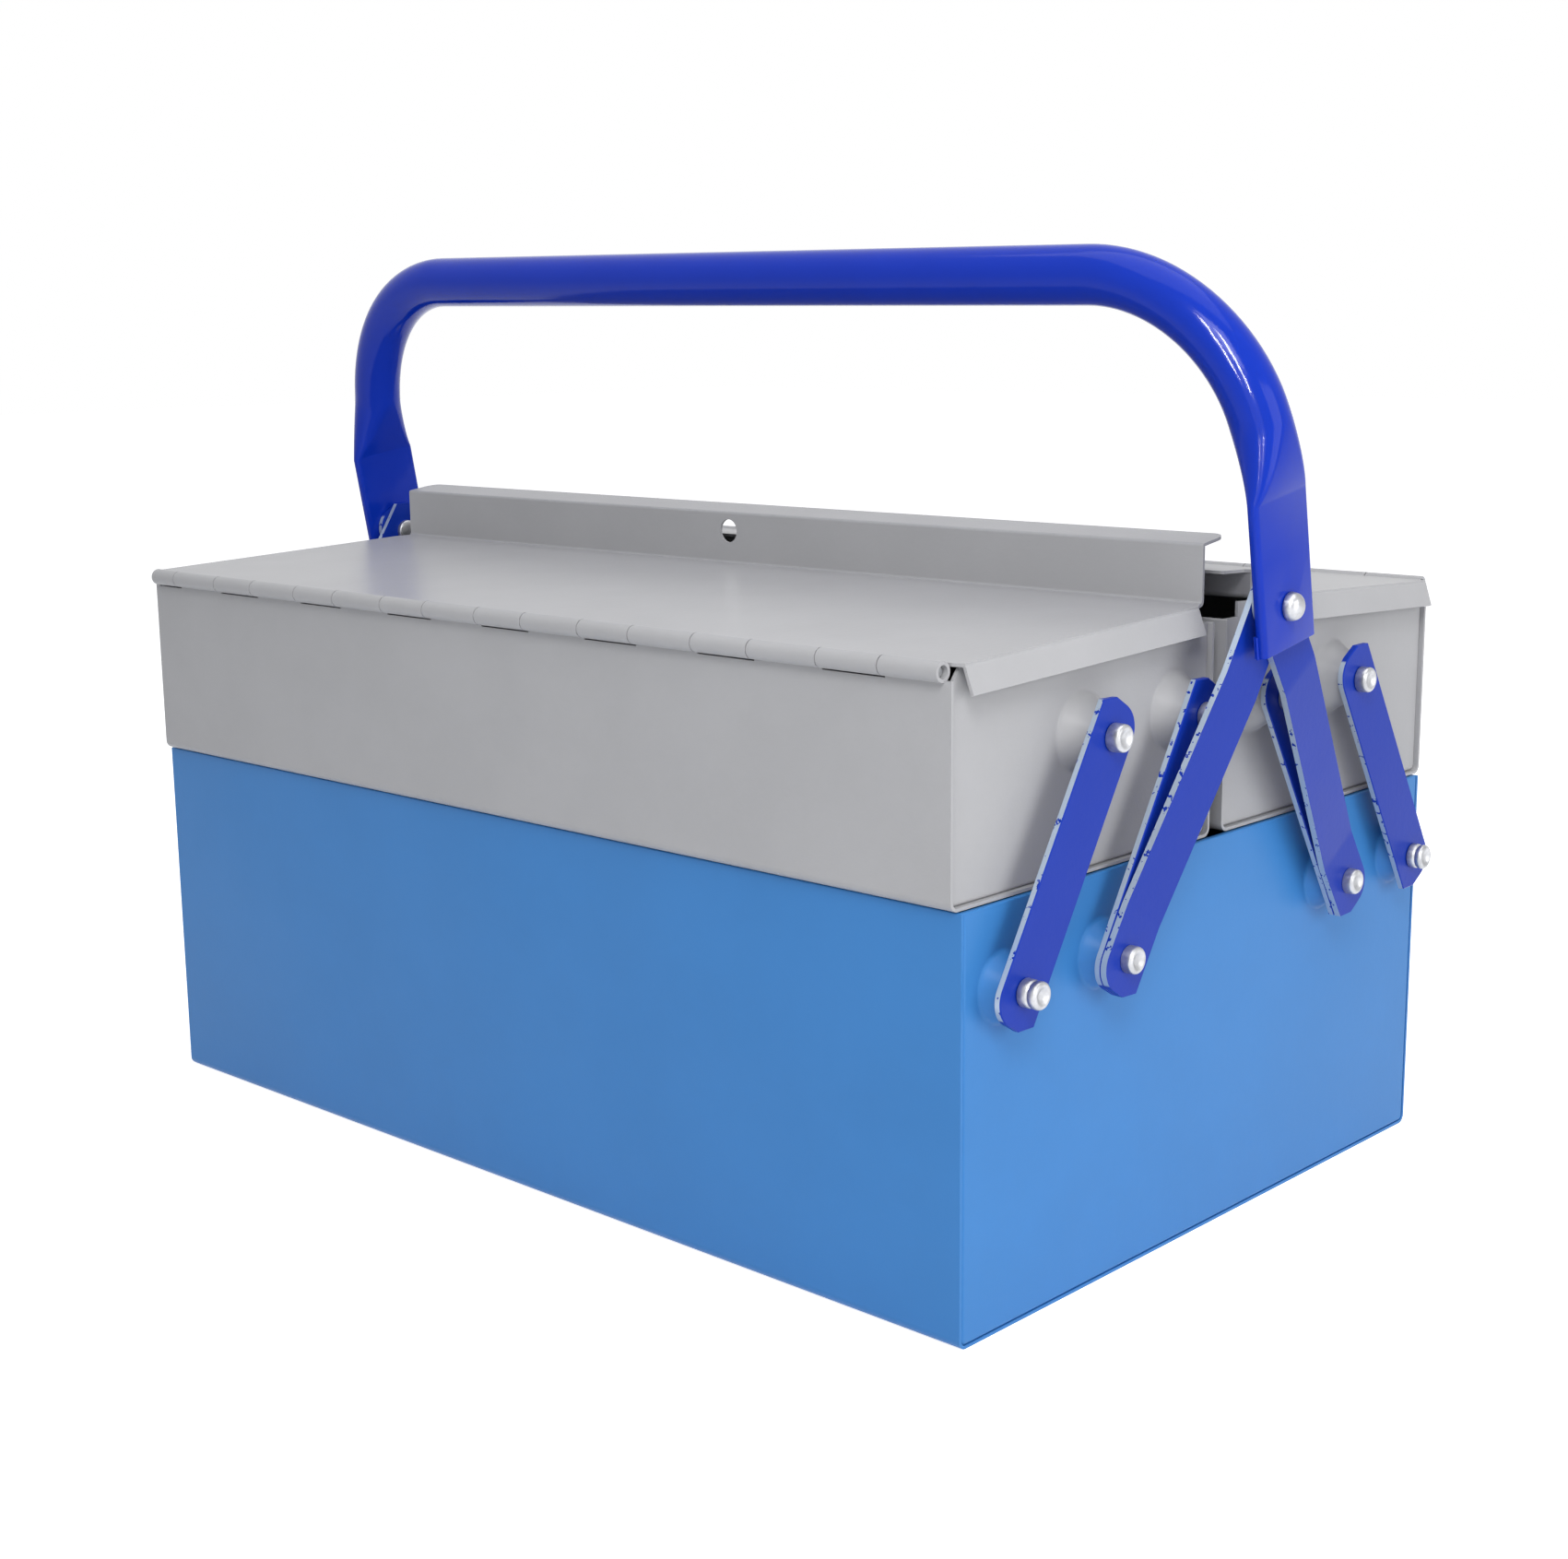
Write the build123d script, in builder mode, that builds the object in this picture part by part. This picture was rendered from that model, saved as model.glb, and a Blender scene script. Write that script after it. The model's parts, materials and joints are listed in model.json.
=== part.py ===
from build123d import *
from math import cos, hypot, radians, sin, tan
import os

# Cantilever tool box of folded sheet steel.
# Two lidded trays stand on an open base. Each hangs on four parallel strap links, so it swings
# outward and lands beside the other one with its floor level. An A-frame of long arms at each
# end carries the bail handle. The trays' outer edges are rolled into barrels for their lids.
# Millimetres, +Z up, X along the box, -Y to the front, origin at the middle of the underside.

os.makedirs("parts", exist_ok=True)

# Sheet steel and fits
sheet = 1.0  # base, trays and lids
bend = 2.0  # inside radius of the main folds
hem = 8.0  # depth of a rolled-over rim
pin_fit = 0.08  # radial clearance round a pin or rivet that something turns on
rest_gap = 0.3  # between parts that lie on each other and move apart
strap_gap = 0.2  # between straps stacked on one rivet

# Base
base_length = 400.0
base_depth = 262.0
base_height = 131.0

# End panels, spot welded inside their wrap
panel_flange = 12.0
panel_bend = 1.2  # outside radius round the panel's face
panel_inset = 1.4  # how far a tray's panel sits inside the ends of its wrap

# Trays
tray_end_gap = 1.4  # each end of a tray inside the base's
tray_overhang = 3.0  # outer wall of a tray beyond the base
tray_spacing = 7.0  # between the two trays
inner_wall_rise = 0.7  # a tray's inner wall above its hinge axis
tray_lift = 0.4  # tray floor above the base rim

# Lid hinges
barrel_diameter = 6.0
barrel_height = 67.9  # axis above the tray's underside
barrel_stand_off = 0.6  # axis outside the tray's outer face
hinge_end_gap = 2.4  # each end of a hinge inside its tray's
hinge_pitch = 50.8  # one tray knuckle and one lid knuckle
lid_knuckle = 23.0
knuckle_gap = 0.4
first_lid_knuckle = 15.0  # the cut-off knuckle at the left end
slot_drop = 0.6  # running gap round a barrel

# Lids
lid_slope = 2.3  # degrees, rising to the middle of the box
lid_rise_at_barrel = 2.0  # lid's top face above the hinge axis
lid_overhang = 1.4  # each end of a lid beyond its tray's
lid_flange_drop = 8.7
lid_flange_flare = 3.0
lid_flange_start = 4.6  # behind the hinge axis
lid_flange_end = 5.0  # in front of the ridge
ridge_end_gap = 2.0  # each end of a ridge inside its lid's
front_ridge_y = -10.0
front_ridge_rise = 25.0  # above the trays' inner walls
front_lip_y = 3.5
front_lip_rise = 2.0
front_lip_corner = 5.0
rear_ridge_y = 20.0
rear_ridge_rise = 14.5
rear_lip_y = 5.5
rear_lip_rise = 0.5
rear_lip_trim = 2.5  # rear lip stops short of its ridge's ends
rear_lip_corner = 1.5
lock_hole_diameter = 8.5
lock_hole_x = -8.0
front_hole_drop = 7.0  # below its ridge's top
rear_hole_drop = 3.9

# Pivots of the strap links
pivot_drop = 25.0  # lower pivots below the base's rim
outer_pivot_inset = 18.4  # outer pivots inside the base's front and rear
inner_pivot = 64.6  # inner pivots from the middle of the box
link_run = 41.2  # link's upper pivot inward of its lower one
link_rise = 68.0
boss_height = 6.2  # pressed boss on the base, its face level with the trays' bosses
boss_face = 14.0
boss_flank = 0.6  # a boss widens by this much for each millimetre of its height
boss_round = 1.5

# Straps
strap_width = 20.0
strap_sheet = 2.0
strap_reach = 11.0  # beyond a pivot
strap_round = 8.0  # the rounded corner of an end
strap_clip = 6.0  # the other corner is clipped, about level when the box is shut
strap_clip_rise = 3.5
strap_ease = 0.3  # broken edge

# Long arms
arm_flat_low = 14.0  # level stretch above the lower pivot
arm_flat_high = 28.0  # level stretch below the handle's pivot
handle_stand_off = 10.3  # handle's plates outside the arms' lower ends

# Rivets
shank_diameter = 6.0
tail_diameter = 8.6
front_lower_tail = 6.4  # outer pivots on the base
rear_lower_tail = 5.4
shared_tail = 3.8  # pivots shared by a link and a long arm
front_upper_tail = 4.6  # outer pivots on the trays
rear_upper_tail = 4.0
inner_upper_tail = 3.7
tail_dimple_diameter = 4.4
tail_dimple_depth = 1.2
inner_head_diameter = 11.0
inner_head_height = 1.8
rivet_ease = 0.5
dome_diameter = 9.0
dome_height = 4.2
dome_round = 3.6
back_head_height = 2.0

# Handle
handle_pivot_rise = 6.5  # handle's pivot above the trays' inner walls
handle_lean = 10.0  # degrees forward at rest
tube_diameter = 19.0
tube_wall = 1.5
grip_height = 103.9  # grip's centre line above the pivot
grip_inset = 62.4  # straight grip ends this far inside the plates
grip_bend = 60.0
leg_splay = 15.0  # degrees outward going down
leg_stub = 1.0  # straight tube below the bend
plate_width = 30.0
plate_sheet = 4.0
plate_top = 34.0  # flat stretch above the pivot
plate_reach = 13.0  # flat stretch below the pivot
edge_flat = 0.1  # what the tube's sections lack to a full round at their edges
crimp_slit = 0.6  # narrow gap left inside the flattened tube

# Places worked out from the sizes
base_half = base_length / 2
base_front = base_depth / 2
tray_half = base_half - tray_end_gap
tray_floor = base_height + tray_lift
tray_outer = base_front + tray_overhang
tray_inner = tray_spacing / 2
panel_face = tray_half - panel_inset
barrel_radius = barrel_diameter / 2
barrel_bore = barrel_radius - sheet
hinge_half = tray_half - hinge_end_gap
hinge_y = tray_outer + barrel_stand_off
hinge_z = tray_floor + barrel_height
tray_inner_top = hinge_z + inner_wall_rise
slot_bottom = hinge_z - barrel_radius - slot_drop
knuckle_reach = barrel_radius + slot_drop
lid_half = tray_half + lid_overhang
ridge_half = lid_half - ridge_end_gap
front_ridge_top = tray_inner_top + front_ridge_rise
rear_ridge_top = tray_inner_top + rear_ridge_rise
pivot_height = base_height - pivot_drop
outer_pivot = base_front - outer_pivot_inset
boss_x = base_half + boss_height
link_x = boss_x + strap_gap
arm_low_x = link_x + strap_sheet + strap_gap
plate_x = arm_low_x + handle_stand_off
rear_arm_x = plate_x - rest_gap - strap_sheet
front_arm_x = rear_arm_x - rest_gap - strap_sheet
grip_half = plate_x + plate_sheet / 2 - grip_inset
upper_height = pivot_height + link_rise
handle_pivot_height = tray_inner_top + handle_pivot_rise
shank_radius = shank_diameter / 2
turning_hole = shank_radius + pin_fit
apex = (0.0, handle_pivot_height)

LEFT_SIDE = Plane.YZ
REAR_SIDE = Plane.XZ
FROM_BASE = (Align.CENTER, Align.CENTER, Align.MIN)
FROM_TOP = (Align.CENTER, Align.CENTER, Align.MAX)
LOW_CORNER = (Align.MIN, Align.MIN, Align.MIN)


def save(piece, name):
    """Label a finished piece and write its file."""
    piece.part.label = name
    export_step(piece.part, f"parts/{name}.step")


def mirrored(piece, about):
    """The same piece on the other side of the box."""
    with BuildPart() as copy:
        mirror(piece.part, about=about)
    return copy


def block(x_span, y_span, z_span, mode=Mode.ADD):
    """A box between two coordinates on each axis, inside the current part."""
    low = (x_span[0], y_span[0], z_span[0])
    size = (x_span[1] - x_span[0], y_span[1] - y_span[0], z_span[1] - z_span[0])
    with Locations(low):
        Box(*size, align=LOW_CORNER, mode=mode)


def outward(x, y, z):
    """A plane whose normal runs out of the box's right end."""
    return Plane(origin=(x, y, z), x_dir=(0, 1, 0), z_dir=(1, 0, 0))


def wrap(length, y_near, y_far, floor, near_top, far_top):
    """Front wall, floor and rear wall folded from one sheet."""
    with BuildPart() as piece:
        with BuildSketch(Plane.YZ.offset(-length / 2)):
            with BuildLine():
                outside = FilletPolyline(
                    (y_near, near_top), (y_near, floor), (y_far, floor), (y_far, far_top),
                    radius=bend + sheet,
                )
                offset(outside, amount=sheet, side=Side.LEFT, closed=True)
            make_face()
        extrude(amount=length)
    return piece


def lid_knuckles():
    """X spans of the slots that the lid's knuckles sit in, from the left end."""
    slot = lid_knuckle + 2 * knuckle_gap
    end = -hinge_half + first_lid_knuckle + knuckle_gap
    spans = []
    while end < hinge_half - knuckle_gap:
        spans.append((max(end - slot, -hinge_half), end))
        end += hinge_pitch
    return spans


def tray_knuckles():
    """X spans of the tray's knuckles, between the slots and out to the right end."""
    slots = lid_knuckles()
    starts = [right for left, right in slots]
    ends = [left for left, right in slots[1:]] + [hinge_half]
    return list(zip(starts, ends))


def lid_top(distance):
    """Height of the lid's top face at a distance from the middle of the box."""
    return hinge_z + lid_rise_at_barrel + (hinge_y - distance) * tan(radians(lid_slope))


def barrel(left, right, radius, mode=Mode.ADD):
    """A round stretch on the front hinge's axis, inside the current part."""
    with Locations(((left + right) / 2, -hinge_y, hinge_z)):
        Cylinder(radius, right - left, rotation=(0, 90, 0), mode=mode)


def boss(face, y, z):
    """A pressed boss on an end panel, hollow behind, with its rivet hole."""
    height = boss_x - face
    crown = boss_face / 2
    foot = crown + boss_flank * height
    with Locations(outward(face, y, z)):
        Cone(foot, crown, height, align=FROM_BASE)
    with Locations(outward(face - sheet, y, z)):
        Cone(foot, crown, height, align=FROM_BASE, mode=Mode.SUBTRACT)
        Cylinder(shank_radius, height + 2 * sheet, align=FROM_BASE, mode=Mode.SUBTRACT)


def end_panel(face, corners, flange_top, boss_places):
    """Right-hand end panel: a face with a flange turned in along both sides and the bottom.

    corners run from the near bottom round to the near top; the first two are the bottom ones.
    """
    low_y, low_z = corners[0]
    high_y = corners[1][0]
    top_z = max(z for y, z in corners)
    inner = [(low_y + sheet, low_z + sheet), (high_y - sheet, low_z + sheet)]
    inner += [(high_y - sheet, top_z + hem), (low_y + sheet, top_z + hem)]
    with BuildPart() as piece:
        with BuildSketch(Plane.YZ.offset(face)) as outline:
            with BuildLine():
                Polyline(*corners, close=True)
            make_face()
            fillet(outline.vertices().group_by(Axis.Y)[0], bend)
        extrude(amount=-panel_flange)
        rim = piece.faces().sort_by(Axis.X)[-1].edges()
        fillet(rim.filter_by(lambda edge: edge.center().Z < flange_top), panel_bend)
        with BuildSketch(Plane.YZ.offset(face - sheet)) as hollow:
            with BuildLine():
                Polyline(*inner, close=True)
            make_face()
            fillet(hollow.vertices().group_by(Axis.Y)[0], bend - sheet / 2)
        extrude(amount=-panel_flange, mode=Mode.SUBTRACT)
        block(
            (face - 2 * panel_flange, face - sheet), (low_y - hem, high_y + hem),
            (flange_top, top_z + hem), mode=Mode.SUBTRACT,
        )
        for y, z in boss_places:
            boss(face, y, z)
        rings = piece.edges().filter_by(GeomType.CIRCLE)
        rings = rings.filter_by(lambda ring: ring.center().X > face - sheet / 2)
        fillet(rings.filter_by(lambda ring: ring.radius > boss_face / 2 - rest_gap), boss_round)
    return piece


def base_wrap():
    """Base's front wall, floor and rear wall, with hemmed rims."""
    body = wrap(base_length, -base_front, base_front, 0.0, base_height, base_height)
    hem_end = base_half - 2 * sheet - strap_gap
    with BuildPart() as piece:
        add(body.part)
        for inside in (-base_front + sheet, base_front - 2 * sheet):
            block(
                (-hem_end, hem_end), (inside, inside + sheet), (base_height - hem, base_height)
            )
        rims = piece.edges().filter_by(Axis.X).group_by(Axis.Z)[-1]
        fillet(rims, sheet * 0.45)
    return piece


def base_end():
    """Base's right end, flush with the ends of the wrap, with a hemmed rim."""
    side = base_front - sheet
    corners = [(-side, sheet), (side, sheet), (side, base_height), (-side, base_height)]
    places = [(s * y, pivot_height) for s in (-1, 1) for y in (outer_pivot, inner_pivot)]
    pan = end_panel(base_half, corners, base_height - hem - strap_gap, places)
    with BuildPart() as piece:
        add(pan.part)
        block(
            (base_half - 2 * sheet, base_half - sheet), (-side, side),
            (base_height - hem, base_height),
        )
        rims = piece.edges().filter_by(Axis.Y).group_by(Axis.Z)[-1]
        fillet(rims, sheet * 0.45)
    return piece


def tray_wrap():
    """Front tray's outer wall, floor and inner wall; the outer wall ends in barrel knuckles."""
    wall_top = hinge_z - barrel_bore - sheet / 2
    body = wrap(2 * tray_half, -tray_outer, -tray_inner, tray_floor, wall_top, tray_inner_top)
    hem_end = panel_face - sheet - strap_gap
    inner_face = -tray_inner - sheet
    with BuildPart() as piece:
        add(body.part)
        block(
            (-hem_end, hem_end), (inner_face - sheet, inner_face),
            (tray_inner_top - hem, tray_inner_top),
        )
        rims = piece.edges().filter_by(Axis.X).group_by(Axis.Z)[-1]
        fillet(rims, sheet * 0.45)
        for left, right in lid_knuckles():
            block(
                (left, right), (-hinge_y - barrel_radius, -tray_outer + 2 * sheet),
                (slot_bottom, hinge_z + barrel_radius), mode=Mode.SUBTRACT,
            )
        for left, right in tray_knuckles():
            barrel(left, right, barrel_radius)
        barrel(-hinge_half, hinge_half, barrel_bore, mode=Mode.SUBTRACT)
    return piece


def tray_end():
    """Front tray's right end, set in from the ends of the wrap and sloped under the lid."""
    near = -tray_outer + sheet
    far = -tray_inner - sheet
    under_lid = sheet + rest_gap
    ridge = -front_ridge_y + 2 * sheet
    barrel_clear = hinge_y - 2 * barrel_radius
    floor = tray_floor + sheet
    corners = [
        (near, floor), (far, floor), (far, tray_inner_top), (-ridge, tray_inner_top),
        (-ridge, lid_top(ridge) - under_lid),
        (-barrel_clear, lid_top(barrel_clear) - under_lid),
        (near, slot_bottom - sheet),
    ]
    outer_upper = (-(outer_pivot - link_run), upper_height)
    inner_upper = (-(inner_pivot - link_run), upper_height)
    flange_top = tray_inner_top - hem - strap_gap
    return end_panel(panel_face, corners, flange_top, [outer_upper, inner_upper])


def hinge_pin():
    """Wire pin of the front hinge."""
    with BuildPart() as piece:
        barrel(-hinge_half, hinge_half, barrel_bore - pin_fit)
    return piece


def lid_flange(start, end, side):
    """Flared flange along one end of a lid, inside the current part."""
    slope = radians(lid_slope)
    across = Plane(
        origin=(0, -start, lid_top(start)), x_dir=(1, 0, 0), z_dir=(0, -cos(slope), -sin(slope))
    )
    turn = Side.RIGHT if side > 0 else Side.LEFT
    with BuildSketch(across) as flange:
        with BuildLine():
            outside = FilletPolyline(
                (side * (lid_half - hem), 0.0), (side * lid_half, 0.0),
                (side * (lid_half + lid_flange_flare), -lid_flange_drop), radius=bend,
            )
            offset(outside, amount=sheet, side=turn, closed=True)
        make_face()
    extrude(flange.sketch, amount=-(start - end) / cos(slope))


def lid(ridge_y, ridge_top, lip_y, lip_rise, lip_trim, lip_corner, hole_z):
    """Lid drawn on the front side: sloped top, upright ridge and a lip along the ridge."""
    ridge = -ridge_y
    flange_start = hinge_y - lid_flange_start
    flange_end = ridge + lid_flange_end
    lip_half = ridge_half - lip_trim
    right_side = [
        (hinge_half, -hinge_y - barrel_diameter), (hinge_half, -flange_start - sheet),
        (lid_half, -flange_start), (lid_half, -flange_end), (ridge_half, -ridge - sheet),
        (ridge_half, -ridge + sheet / 2), (lip_half, -ridge + 2 * sheet), (lip_half, lip_y),
    ]
    left_side = [(-x, y) for x, y in reversed(right_side)]
    with BuildPart() as piece:
        with BuildSketch(Plane.YZ.offset(-lid_half)):
            with BuildLine():
                top_face = FilletPolyline(
                    (-hinge_y, lid_top(hinge_y)), (-ridge, lid_top(ridge)),
                    (-ridge, ridge_top), (lip_y, ridge_top + lip_rise), radius=sheet,
                )
                offset(top_face, amount=sheet, side=Side.RIGHT, closed=True)
            make_face()
        extrude(amount=2 * lid_half)
        with BuildSketch(Plane.XY) as plan:
            with BuildLine():
                Polyline(*right_side, *left_side, close=True)
            make_face()
            fillet(plan.vertices().group_by(Axis.Y)[-1], lip_corner)
        extrude(amount=2 * ridge_top, mode=Mode.INTERSECT)
        for side in (-1, 1):
            lid_flange(flange_start, flange_end, side)
        for left, right in lid_knuckles():
            barrel(left + knuckle_gap, right - knuckle_gap, barrel_radius)
        for left, right in tray_knuckles():
            block(
                (left - knuckle_gap, right + knuckle_gap),
                (-hinge_y - knuckle_reach, -hinge_y + knuckle_reach),
                (hinge_z - barrel_radius, hinge_z + 2 * barrel_radius), mode=Mode.SUBTRACT,
            )
        barrel(-hinge_half, hinge_half, barrel_bore, mode=Mode.SUBTRACT)
        with Locations(Plane(origin=(lock_hole_x, -ridge, hole_z), z_dir=(0, 1, 0))):
            Cylinder(lock_hole_diameter / 2, 4 * sheet, mode=Mode.SUBTRACT)
    return piece


def strap_plane(x, low, high):
    """Plane at x whose local x runs from a strap's lower pivot to its upper one."""
    run = (0, high[0] - low[0], high[1] - low[1])
    return Plane(origin=(x, low[0], low[1]), x_dir=run, z_dir=(1, 0, 0))


def strap_outline(outline, length, hole_low, hole_high):
    """Flat strap, inside the sketch handed in: one corner of each end rounded, one clipped."""
    half = strap_width / 2
    foot = -strap_reach
    head = length + strap_reach
    Polygon(
        (foot + strap_clip_rise, -half), (head, -half), (head, half - strap_clip),
        (head - strap_clip_rise, half), (foot, half), (foot, strap_clip - half), align=None,
    )
    for end, side in ((0, -1), (-1, 0)):
        corner = outline.vertices().group_by(Axis.X)[end].sort_by(Axis.Y)[side]
        fillet(corner, strap_round)
    Circle(hole_low, mode=Mode.SUBTRACT)
    with Locations((length, 0)):
        Circle(hole_high, mode=Mode.SUBTRACT)


def link(low, high):
    """Strap link on the right end, between a pivot on the base and one on a tray."""
    length = hypot(high[0] - low[0], high[1] - low[1])
    with BuildPart() as piece:
        with BuildSketch(strap_plane(link_x, low, high)) as outline:
            strap_outline(outline, length, turning_hole, turning_hole)
        extrude(amount=strap_sheet)
        outer_face = piece.faces().sort_by(Axis.X)[-1]
        chamfer(outer_face.outer_wire().edges(), strap_ease)
    return piece


def long_arm(low, high, high_x):
    """Right-hand arm of the A-frame: flat at both pivots and splayed outward between them."""
    run_y = high[0] - low[0]
    run_z = high[1] - low[1]
    length = hypot(run_y, run_z)
    edge_on = Plane(origin=(0, low[0], low[1]), x_dir=(0, run_y, run_z), z_dir=(0, run_z, -run_y))
    with BuildPart() as piece:
        with BuildSketch(edge_on):
            with BuildLine():
                inside = FilletPolyline(
                    (-strap_reach, arm_low_x), (arm_flat_low, arm_low_x),
                    (length - arm_flat_high, high_x), (length + strap_reach, high_x),
                    radius=strap_width,
                )
                offset(inside, amount=strap_sheet, side=Side.LEFT, closed=True)
            make_face()
        extrude(amount=strap_width / 2, both=True)
        with BuildSketch(strap_plane(base_half, low, high)) as outline:
            strap_outline(outline, length, shank_radius, shank_radius)
        extrude(amount=high_x + 2 * strap_sheet - base_half, mode=Mode.INTERSECT)
    return piece


def rivet(y, z, tail_x, tail_length):
    """Semi-tubular rivet through a boss: head inside the box, dimpled tail outside."""
    under_head = boss_x - sheet
    with Locations(outward(under_head, y, z)):
        Cylinder(inner_head_diameter / 2, inner_head_height, align=FROM_TOP)
        Cylinder(shank_radius, tail_x - under_head, align=FROM_BASE)
    with Locations(outward(tail_x, y, z)):
        Cylinder(tail_diameter / 2, tail_length, align=FROM_BASE)
    with Locations(outward(tail_x + tail_length, y, z)):
        Cylinder(
            tail_dimple_diameter / 2, tail_dimple_depth, align=FROM_TOP, mode=Mode.SUBTRACT
        )


def rivets(places):
    """A group of rivets on the right end; places are (y, z, tail_x, tail_length)."""
    shortest = min(tail_length for y, z, tail_x, tail_length in places)
    with BuildPart() as piece:
        for place in places:
            rivet(*place)
        rings = piece.edges().filter_by(GeomType.CIRCLE)
        rims = rings.filter_by(lambda ring: abs(ring.radius - tail_diameter / 2) < rest_gap)
        tips = rims.filter_by(lambda ring: ring.center().X > arm_low_x + shortest - rest_gap)
        chamfer(tips, rivet_ease)
    return piece


def tray_rivets(outer_tail):
    """The two rivets of the front tray's right end, the outer one with a tail of its own."""
    return rivets([
        (link_run - outer_pivot, upper_height, arm_low_x, outer_tail),
        (link_run - inner_pivot, upper_height, arm_low_x, inner_upper_tail),
    ])


def handle_rivet():
    """Domed rivet that the handle turns on, through both long arms."""
    with BuildPart() as piece:
        with Locations(outward(front_arm_x, *apex)):
            Cylinder(dome_diameter / 2, back_head_height, align=FROM_TOP)
            Cylinder(shank_radius, plate_x + plate_sheet + rest_gap - front_arm_x, align=FROM_BASE)
        with Locations(outward(plate_x + plate_sheet + rest_gap, *apex)):
            Cylinder(dome_diameter / 2, dome_height, align=FROM_BASE)
        crown = piece.edges().sort_by(Axis.X)[-1]
        fillet(crown, dome_round)
    return piece


def handle_plane():
    """Plane of the handle at rest: local x along the box, local y up the leaning handle."""
    lean = radians(handle_lean)
    return Plane(
        origin=(0, 0, handle_pivot_height), x_dir=(1, 0, 0), z_dir=(0, -cos(lean), -sin(lean))
    )


def leg_points():
    """Corner where the leg's line meets the grip's, and the end of the round tube."""
    turn = radians(90 - leg_splay)
    tangent = grip_bend * tan(turn / 2)
    corner = (grip_half + tangent, grip_height)
    down = tangent + leg_stub
    foot = (corner[0] + down * cos(turn), corner[1] - down * sin(turn))
    return corner, foot


def tube_section(width, height):
    """Section of the tube, round or pressed flat, inside the current sketch."""
    RectangleRounded(width, height, height / 2 - edge_flat)


def handle_run(diameter, width, thickness, reach):
    """The bent tube with both legs run out flat, solid, for its outside or for its bore."""
    upright = handle_plane()
    corner, foot = leg_points()
    splay = radians(leg_splay)
    leg_down = upright.x_dir * sin(splay) - upright.y_dir * cos(splay)
    round_end = Plane(
        origin=upright.from_local_coords((foot[0], foot[1], 0)), x_dir=upright.z_dir,
        z_dir=leg_down,
    )
    flat_end = Plane(
        origin=upright.from_local_coords((plate_x + plate_sheet / 2, plate_top, 0)),
        x_dir=upright.z_dir, z_dir=upright.y_dir * -1,
    )
    with BuildPart() as leg:
        with BuildSketch(round_end):
            tube_section(diameter, diameter)
        with BuildSketch(flat_end) as pressed:
            tube_section(width, thickness)
        loft()
        extrude(pressed.sketch, amount=plate_top + reach)
    with BuildPart() as run:
        with BuildLine(upright) as path:
            FilletPolyline(
                foot, corner, (-corner[0], corner[1]), (-foot[0], foot[1]), radius=grip_bend
            )
        with BuildSketch(Plane(origin=path.line @ 0, x_dir=upright.z_dir, z_dir=path.line % 0)):
            tube_section(diameter, diameter)
        sweep(path=path.line)
        add(leg.part)
        mirror(leg.part, about=LEFT_SIDE)
    return run


def handle():
    """Bail handle: one bent tube whose flattened ends are drilled for their rivets."""
    bore = tube_diameter - 2 * tube_wall
    slit_width = plate_width - 2 * tube_wall
    outside = handle_run(tube_diameter, plate_width, plate_sheet, plate_reach)
    inside = handle_run(bore, slit_width, crimp_slit, plate_reach + sheet)
    with BuildPart() as piece:
        add(outside.part)
        add(inside.part, mode=Mode.SUBTRACT)
        with Locations(Plane(origin=(0, *apex), z_dir=(1, 0, 0))):
            Cylinder(turning_hole, 2 * (plate_x + tube_diameter), mode=Mode.SUBTRACT)
    return piece


def save_both_ends(piece, name):
    """Write a right-hand piece and its mirror image at the left end."""
    save(piece, f"{name}_right")
    save(mirrored(piece, LEFT_SIDE), f"{name}_left")


def save_all_corners(piece, name):
    """Write a piece of the front right corner and its three mirror images."""
    save_both_ends(piece, f"front_{name}")
    save_both_ends(mirrored(piece, REAR_SIDE), f"rear_{name}")


def make_base():
    """Base shell with its rivets."""
    save(base_wrap(), "base_wrap")
    save_both_ends(base_end(), "base_end")
    shared_x = arm_low_x + strap_sheet
    places = [
        (-outer_pivot, pivot_height, arm_low_x, front_lower_tail),
        (-inner_pivot, pivot_height, shared_x, shared_tail),
        (inner_pivot, pivot_height, shared_x, shared_tail),
        (outer_pivot, pivot_height, arm_low_x, rear_lower_tail),
    ]
    save_both_ends(rivets(places), "base_rivets")


def make_trays():
    """Both trays with their rivets and hinge pins."""
    shell = tray_wrap()
    save(shell, "front_tray_wrap")
    save(mirrored(shell, REAR_SIDE), "rear_tray_wrap")
    save_all_corners(tray_end(), "tray_end")
    save_both_ends(tray_rivets(front_upper_tail), "front_tray_rivets")
    save_both_ends(mirrored(tray_rivets(rear_upper_tail), REAR_SIDE), "rear_tray_rivets")
    pin = hinge_pin()
    save(pin, "front_hinge_pin")
    save(mirrored(pin, REAR_SIDE), "rear_hinge_pin")


def make_lids():
    """The ridged front lid and the lower rear lid."""
    front = lid(
        front_ridge_y, front_ridge_top, front_lip_y, front_lip_rise, 0.0, front_lip_corner,
        front_ridge_top - front_hole_drop,
    )
    save(front, "front_lid")
    rear = lid(
        -rear_ridge_y, rear_ridge_top, -rear_lip_y, rear_lip_rise, rear_lip_trim,
        rear_lip_corner, rear_ridge_top - rear_hole_drop,
    )
    save(mirrored(rear, REAR_SIDE), "rear_lid")


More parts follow.
